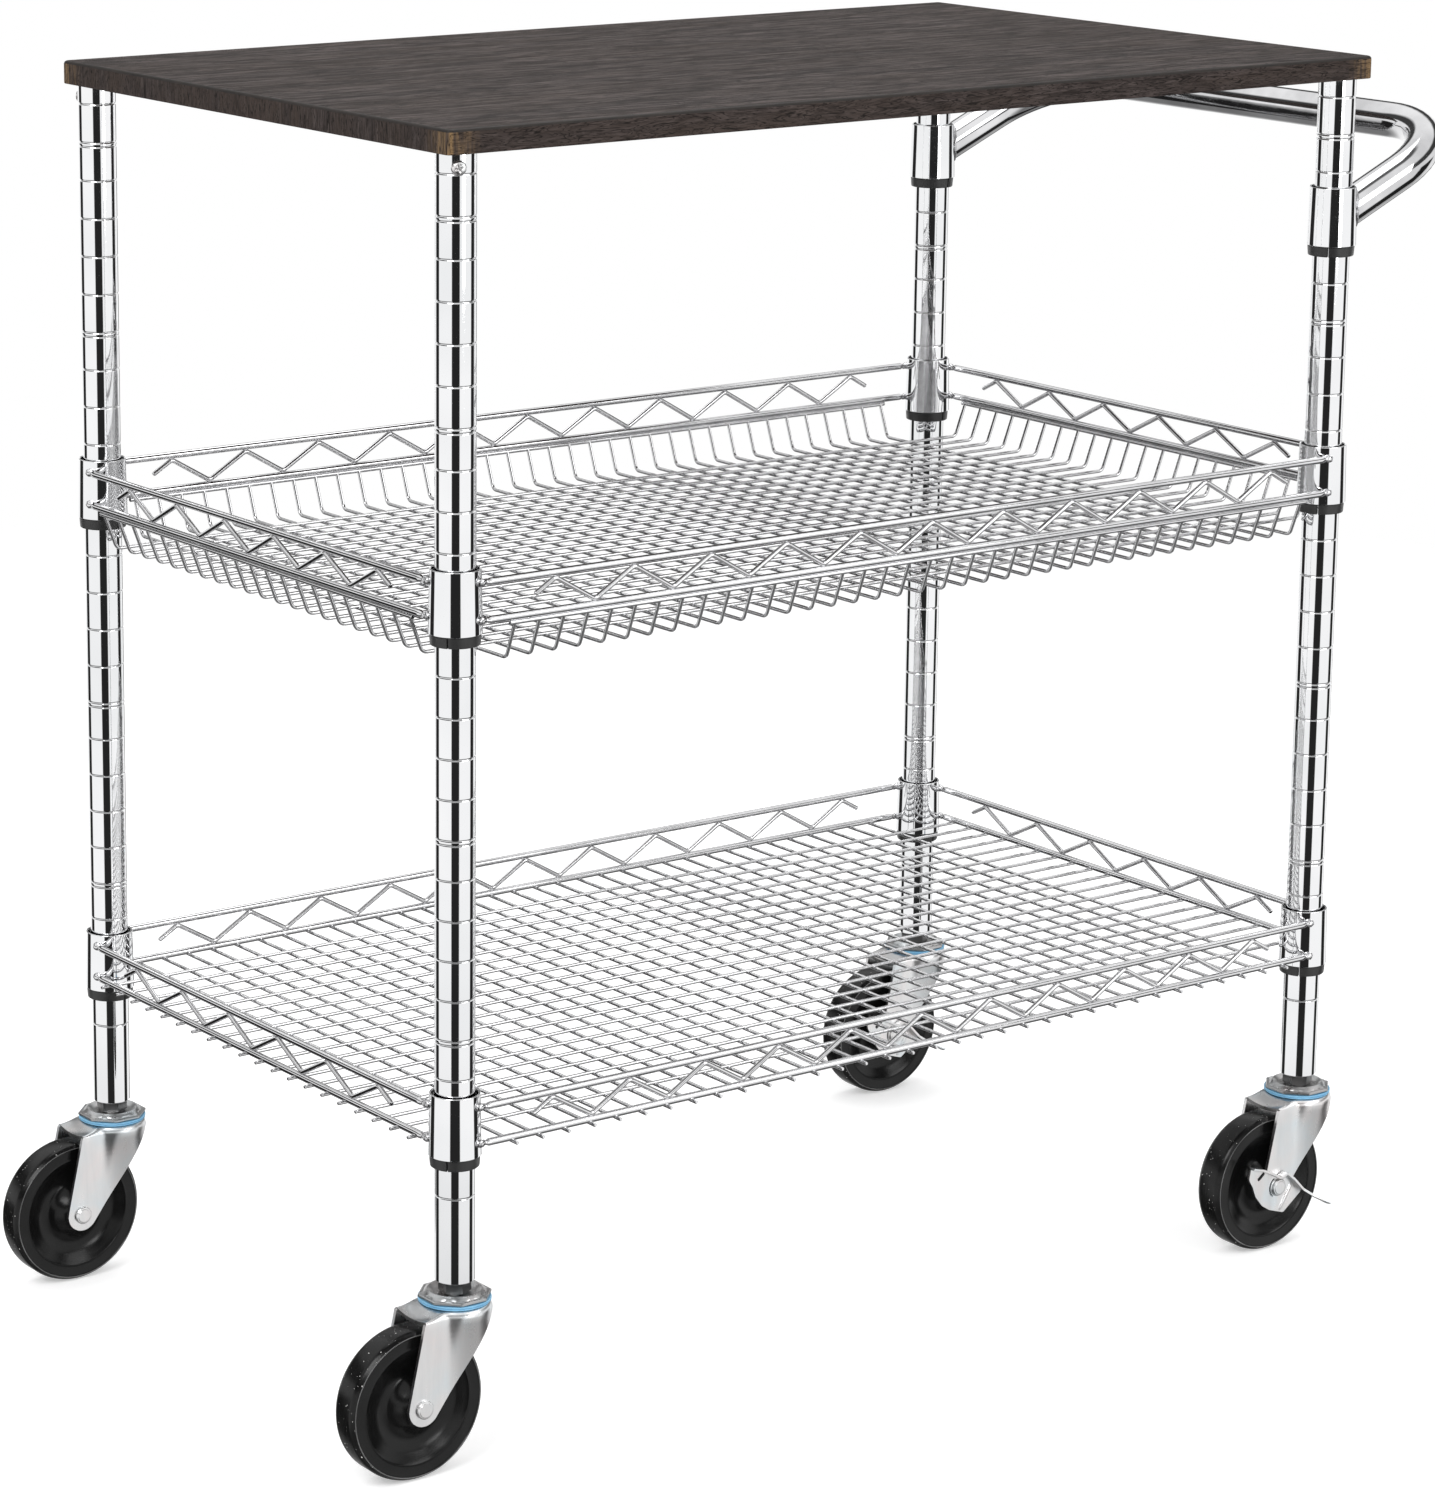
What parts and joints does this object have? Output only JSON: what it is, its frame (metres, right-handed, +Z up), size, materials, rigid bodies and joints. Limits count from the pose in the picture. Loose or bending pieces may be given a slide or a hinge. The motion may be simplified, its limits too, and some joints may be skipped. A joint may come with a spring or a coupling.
{
  "type": "wire shelf cart",
  "caption": "Rolling wire shelf cart with a wooden worktop, a wire basket, a wire shelf, a push handle and swivel casters.",
  "frame": {"origin": "on the floor, under the middle of the whole cart's box", "axes": "+X along the cart to the handle end, -Y the front long side, +Z up"},
  "size_m": [0.9366, 0.4716, 0.8404],
  "materials": {
    "wood_top": "dark brown grained top with a satin lacquer",
    "chrome_tube": "mirror chrome plate",
    "chrome_wire": "bright chrome plate, a little softer than the posts",
    "zinc_steel": "bright zinc plate on pressed steel",
    "black_plastic": "moulded black plastic",
    "blue_seal": "light blue moulded seal",
    "wheel_black": "hard black wheel, finely textured tread",
    "grey_plastic": "grey bearing plastic"
  },
  "bodies": {
    "cart": {"table_top": "wood_top", "post_front_left": "chrome_tube", "top_plug_front_left": "black_plastic", "post_screw_front_left": "zinc_steel", "post_front_right": "chrome_tube", "top_plug_front_right": "black_plastic", "post_screw_front_right": "zinc_steel", "post_rear_left": "chrome_tube", "top_plug_rear_left": "black_plastic", "post_screw_rear_left": "zinc_steel", "post_rear_right": "chrome_tube", "top_plug_rear_right": "black_plastic", "post_screw_rear_right": "zinc_steel", "sleeve_shelf_front_left": "black_plastic", "sleeve_shelf_front_right": "black_plastic", "sleeve_shelf_rear_left": "black_plastic", "sleeve_shelf_rear_right": "black_plastic", "sleeve_basket_front_left": "black_plastic", "sleeve_basket_front_right": "black_plastic", "sleeve_basket_rear_left": "black_plastic", "sleeve_basket_rear_right": "black_plastic", "sleeve_handle_front_right": "black_plastic", "sleeve_handle_rear_right": "black_plastic", "shelf_frame": "chrome_wire", "basket_frame": "chrome_wire", "shelf_deck": "chrome_wire", "basket_mesh": "chrome_wire", "handle": "chrome_tube", "caster_stem_front_left": "zinc_steel", "caster_race_front_left": "zinc_steel", "caster_seal_front_left": "blue_seal", "caster_stem_front_right": "zinc_steel", "caster_race_front_right": "zinc_steel", "caster_seal_front_right": "blue_seal", "caster_stem_rear_left": "zinc_steel", "caster_race_rear_left": "zinc_steel", "caster_seal_rear_left": "blue_seal", "caster_stem_rear_right": "zinc_steel", "caster_race_rear_right": "zinc_steel", "caster_seal_rear_right": "blue_seal"},
    "fork_front_left": {"caster_fork_front_left": "zinc_steel", "caster_axle_front_left": "zinc_steel", "caster_bushing_front_left": "grey_plastic"},
    "wheel_front_left": {"caster_wheel_front_left": "wheel_black"},
    "fork_front_right": {"caster_fork_front_right": "zinc_steel", "caster_axle_front_right": "zinc_steel", "caster_bushing_front_right": "grey_plastic"},
    "wheel_front_right": {"caster_wheel_front_right": "wheel_black"},
    "brake_front_right": {"brake_lever_front_right": "zinc_steel"},
    "fork_rear_left": {"caster_fork_rear_left": "zinc_steel", "caster_axle_rear_left": "zinc_steel", "caster_bushing_rear_left": "grey_plastic"},
    "wheel_rear_left": {"caster_wheel_rear_left": "wheel_black"},
    "fork_rear_right": {"caster_fork_rear_right": "zinc_steel", "caster_axle_rear_right": "zinc_steel", "caster_bushing_rear_right": "grey_plastic"},
    "wheel_rear_right": {"caster_wheel_rear_right": "wheel_black"},
    "brake_rear_right": {"brake_lever_rear_right": "zinc_steel"}
  },
  "joints": [
    {"name": "swivel_front_left", "type": "hinge", "parent": "cart", "child": "fork_front_left", "pos_m": [-0.38501, -0.209, 0.1086], "axis": [0, 0, 1], "continuous": true},
    {"name": "spin_front_left", "type": "hinge", "parent": "fork_front_left", "child": "wheel_front_left", "pos_m": [-0.41931, -0.209, 0.049], "axis": [0, 1, 0], "continuous": true},
    {"name": "swivel_front_right", "type": "hinge", "parent": "cart", "child": "fork_front_right", "pos_m": [0.33549, -0.209, 0.1086], "axis": [0, 0, 1], "continuous": true},
    {"name": "spin_front_right", "type": "hinge", "parent": "fork_front_right", "child": "wheel_front_right", "pos_m": [0.30119, -0.209, 0.049], "axis": [0, 1, 0], "continuous": true},
    {"name": "brake_front_right_press", "type": "hinge", "parent": "fork_front_right", "child": "brake_front_right", "pos_m": [0.30119, -0.209, 0.049], "axis": [0, 1, 0], "range_deg": [0, 25]},
    {"name": "swivel_rear_left", "type": "hinge", "parent": "cart", "child": "fork_rear_left", "pos_m": [-0.38501, 0.2128, 0.1086], "axis": [0, 0, 1], "continuous": true},
    {"name": "spin_rear_left", "type": "hinge", "parent": "fork_rear_left", "child": "wheel_rear_left", "pos_m": [-0.41931, 0.2128, 0.049], "axis": [0, 1, 0], "continuous": true},
    {"name": "swivel_rear_right", "type": "hinge", "parent": "cart", "child": "fork_rear_right", "pos_m": [0.33549, 0.2128, 0.1086], "axis": [0, 0, 1], "continuous": true},
    {"name": "spin_rear_right", "type": "hinge", "parent": "fork_rear_right", "child": "wheel_rear_right", "pos_m": [0.30119, 0.2128, 0.049], "axis": [0, 1, 0], "continuous": true},
    {"name": "brake_rear_right_press", "type": "hinge", "parent": "fork_rear_right", "child": "brake_rear_right", "pos_m": [0.30119, 0.2128, 0.049], "axis": [0, 1, 0], "range_deg": [0, 25]}
  ]
}
